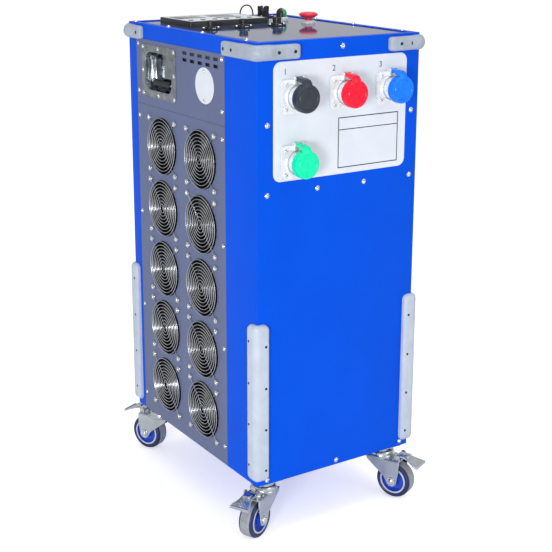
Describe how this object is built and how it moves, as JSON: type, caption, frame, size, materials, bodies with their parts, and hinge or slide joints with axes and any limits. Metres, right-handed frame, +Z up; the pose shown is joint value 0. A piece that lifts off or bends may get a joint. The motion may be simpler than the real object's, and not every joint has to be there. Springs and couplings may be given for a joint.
{
  "type": "generator load bank",
  "caption": "Upright wheeled load bank cabinet with side fans in wire guards, capped power inlets, top controls, corner bumpers and braked casters.",
  "frame": {"origin": "centre of the footprint on the floor", "axes": "+Z up, connector face looks along -Y, fan face looks along -X"},
  "size_m": [0.4682, 0.6016, 0.9677],
  "materials": {
    "blue_paint": "smooth glossy powder coat",
    "grey_paint": "satin powder coat",
    "grey_gloss": "high gloss enamel",
    "white_plate": "satin laminate",
    "grey_bumper": "smooth semi matte moulding",
    "zinc": "bright zinc plate",
    "chrome": "polished",
    "black_plastic": "moulded satin",
    "flange_metal": "satin cast",
    "cap_black": "semi gloss moulding",
    "cap_red": "semi gloss moulding",
    "cap_blue": "semi gloss moulding",
    "cap_green": "semi gloss moulding",
    "wheel_blue": "moulded",
    "tyre_grey": "smooth rolled tread",
    "red_plastic": "gloss moulding",
    "white_plastic": "gloss moulding",
    "green_lens": "translucent moulding",
    "bare_steel": "mill finish",
    "cord_black": "smooth jacket"
  },
  "bodies": {
    "cabinet": {"front_panel": "blue_paint", "back_panel": "blue_paint", "right_panel": "blue_paint", "base_pan": "blue_paint", "top_frame": "blue_paint", "top_plate": "grey_gloss", "upper_side_panel": "grey_paint", "fan_panel": "grey_paint", "label_plates": "white_plate", "corner_bumpers": "grey_bumper", "corner_guards": "grey_bumper", "caster_plates": "zinc", "fan_frames": "black_plastic", "fan_guards": "chrome", "inlet_flanges": "flange_metal", "inlet_sockets": "black_plastic", "handle_dish": "chrome", "control_box": "black_plastic", "aux_sockets": "black_plastic", "pilot_bezels": "white_plastic", "lamp_lens": "green_lens", "control_inlet": "black_plastic", "lanyard": "cord_black", "element_frame": "bare_steel", "resistor_elements": "bare_steel", "contactors": "black_plastic"},
    "rotor_01": {"rotor_01": "black_plastic"},
    "rotor_02": {"rotor_02": "black_plastic"},
    "rotor_03": {"rotor_03": "black_plastic"},
    "rotor_04": {"rotor_04": "black_plastic"},
    "rotor_05": {"rotor_05": "black_plastic"},
    "rotor_06": {"rotor_06": "black_plastic"},
    "rotor_07": {"rotor_07": "black_plastic"},
    "rotor_08": {"rotor_08": "black_plastic"},
    "rotor_09": {"rotor_09": "black_plastic"},
    "rotor_10": {"rotor_10": "black_plastic"},
    "cap_a": {"cap_a": "cap_black"},
    "cap_b": {"cap_b": "cap_red"},
    "cap_c": {"cap_c": "cap_blue"},
    "cap_ground": {"cap_ground": "cap_green"},
    "bail": {"handle_bail": "chrome", "handle_grip": "black_plastic"},
    "estop": {"estop_head": "red_plastic"},
    "inlet_cap": {"control_cap": "black_plastic"},
    "caster_fl": {"fork_fl": "zinc"},
    "roller_fl": {"wheel_fl": "wheel_blue", "tyre_fl": "tyre_grey"},
    "brake_fl": {"pedal_fl": "zinc"},
    "caster_fr": {"fork_fr": "zinc"},
    "roller_fr": {"wheel_fr": "wheel_blue", "tyre_fr": "tyre_grey"},
    "brake_fr": {"pedal_fr": "zinc"},
    "caster_bl": {"fork_bl": "zinc"},
    "roller_bl": {"wheel_bl": "wheel_blue", "tyre_bl": "tyre_grey"},
    "brake_bl": {"pedal_bl": "zinc"},
    "caster_br": {"fork_br": "zinc"},
    "roller_br": {"wheel_br": "wheel_blue", "tyre_br": "tyre_grey"},
    "brake_br": {"pedal_br": "zinc"}
  },
  "joints": [
    {"name": "rotor_01_spin", "type": "hinge", "parent": "cabinet", "child": "rotor_01", "pos_m": [-0.16, -0.0455, 0.197], "axis": [1, 0, 0], "continuous": true},
    {"name": "rotor_02_spin", "type": "hinge", "parent": "cabinet", "child": "rotor_02", "pos_m": [-0.16, -0.0455, 0.324], "axis": [1, 0, 0], "continuous": true},
    {"name": "rotor_03_spin", "type": "hinge", "parent": "cabinet", "child": "rotor_03", "pos_m": [-0.16, -0.0455, 0.451], "axis": [1, 0, 0], "continuous": true},
    {"name": "rotor_04_spin", "type": "hinge", "parent": "cabinet", "child": "rotor_04", "pos_m": [-0.16, -0.0455, 0.578], "axis": [1, 0, 0], "continuous": true},
    {"name": "rotor_05_spin", "type": "hinge", "parent": "cabinet", "child": "rotor_05", "pos_m": [-0.16, -0.0455, 0.705], "axis": [1, 0, 0], "continuous": true},
    {"name": "rotor_06_spin", "type": "hinge", "parent": "cabinet", "child": "rotor_06", "pos_m": [-0.16, 0.1075, 0.197], "axis": [1, 0, 0], "continuous": true},
    {"name": "rotor_07_spin", "type": "hinge", "parent": "cabinet", "child": "rotor_07", "pos_m": [-0.16, 0.1075, 0.324], "axis": [1, 0, 0], "continuous": true},
    {"name": "rotor_08_spin", "type": "hinge", "parent": "cabinet", "child": "rotor_08", "pos_m": [-0.16, 0.1075, 0.451], "axis": [1, 0, 0], "continuous": true},
    {"name": "rotor_09_spin", "type": "hinge", "parent": "cabinet", "child": "rotor_09", "pos_m": [-0.16, 0.1075, 0.578], "axis": [1, 0, 0], "continuous": true},
    {"name": "rotor_10_spin", "type": "hinge", "parent": "cabinet", "child": "rotor_10", "pos_m": [-0.16, 0.1075, 0.705], "axis": [1, 0, 0], "continuous": true},
    {"name": "cap_a_hinge", "type": "hinge", "parent": "cabinet", "child": "cap_a", "pos_m": [-0.102, -0.2585, 0.877], "axis": [-1, 0, 0], "range_deg": [0, 105]},
    {"name": "cap_b_hinge", "type": "hinge", "parent": "cabinet", "child": "cap_b", "pos_m": [0.003, -0.2585, 0.877], "axis": [-1, 0, 0], "range_deg": [0, 105]},
    {"name": "cap_c_hinge", "type": "hinge", "parent": "cabinet", "child": "cap_c", "pos_m": [0.108, -0.2585, 0.877], "axis": [-1, 0, 0], "range_deg": [0, 105]},
    {"name": "cap_ground_hinge", "type": "hinge", "parent": "cabinet", "child": "cap_ground", "pos_m": [-0.102, -0.2585, 0.76], "axis": [-1, 0, 0], "range_deg": [0, 105]},
    {"name": "handle_swing", "type": "hinge", "parent": "cabinet", "child": "bail", "pos_m": [-0.171, 0.117, 0.876], "axis": [0, 1, 0], "range_deg": [0, 90]},
    {"name": "estop_press", "type": "slide", "parent": "cabinet", "child": "estop", "axis": [0, 0, 1], "range_m": [-0.004, 0], "stiffness_N_per_m": 1500, "springref_m": 0.0005},
    {"name": "inlet_cap_turn", "type": "hinge", "parent": "cabinet", "child": "inlet_cap", "pos_m": [0.115, 0.197, 0.9505], "axis": [0, 0, 1], "range_deg": [0, 90]},
    {"name": "swivel_fl", "type": "hinge", "parent": "cabinet", "child": "caster_fl", "pos_m": [-0.144, -0.21, 0.09], "axis": [0, 0, 1], "continuous": true},
    {"name": "roll_fl", "type": "hinge", "parent": "caster_fl", "child": "roller_fl", "pos_m": [-0.17365, -0.22449, 0.0375], "axis": [0.4392, -0.8984, 0], "continuous": true},
    {"name": "pedal_press_fl", "type": "hinge", "parent": "caster_fl", "child": "brake_fl", "pos_m": [-0.18173, -0.22845, 0.09], "axis": [0.4392, -0.8984, 0], "range_deg": [0, 14]},
    {"name": "swivel_fr", "type": "hinge", "parent": "cabinet", "child": "caster_fr", "pos_m": [0.144, -0.21, 0.09], "axis": [0, 0, 1], "continuous": true},
    {"name": "roll_fr", "type": "hinge", "parent": "caster_fr", "child": "roller_fr", "pos_m": [0.15743, -0.24014, 0.0375], "axis": [0.9134, 0.4071, 0], "continuous": true},
    {"name": "pedal_press_fr", "type": "hinge", "parent": "caster_fr", "child": "brake_fr", "pos_m": [0.1611, -0.24836, 0.09], "axis": [0.9134, 0.4071, 0], "range_deg": [0, 14]},
    {"name": "swivel_bl", "type": "hinge", "parent": "cabinet", "child": "caster_bl", "pos_m": [-0.144, 0.21, 0.09], "axis": [0, 0, 1], "continuous": true},
    {"name": "roll_bl", "type": "hinge", "parent": "caster_bl", "child": "roller_bl", "pos_m": [-0.15743, 0.24014, 0.0375], "axis": [-0.9134, -0.4071, 0], "continuous": true},
    {"name": "pedal_press_bl", "type": "hinge", "parent": "caster_bl", "child": "brake_bl", "pos_m": [-0.1611, 0.24836, 0.09], "axis": [-0.9134, -0.4071, 0], "range_deg": [0, 14]},
    {"name": "swivel_br", "type": "hinge", "parent": "cabinet", "child": "caster_br", "pos_m": [0.144, 0.21, 0.09], "axis": [0, 0, 1], "continuous": true},
    {"name": "roll_br", "type": "hinge", "parent": "caster_br", "child": "roller_br", "pos_m": [0.17365, 0.22449, 0.0375], "axis": [-0.4392, 0.8984, 0], "continuous": true},
    {"name": "pedal_press_br", "type": "hinge", "parent": "caster_br", "child": "brake_br", "pos_m": [0.18173, 0.22845, 0.09], "axis": [-0.4392, 0.8984, 0], "range_deg": [0, 14]}
  ]
}
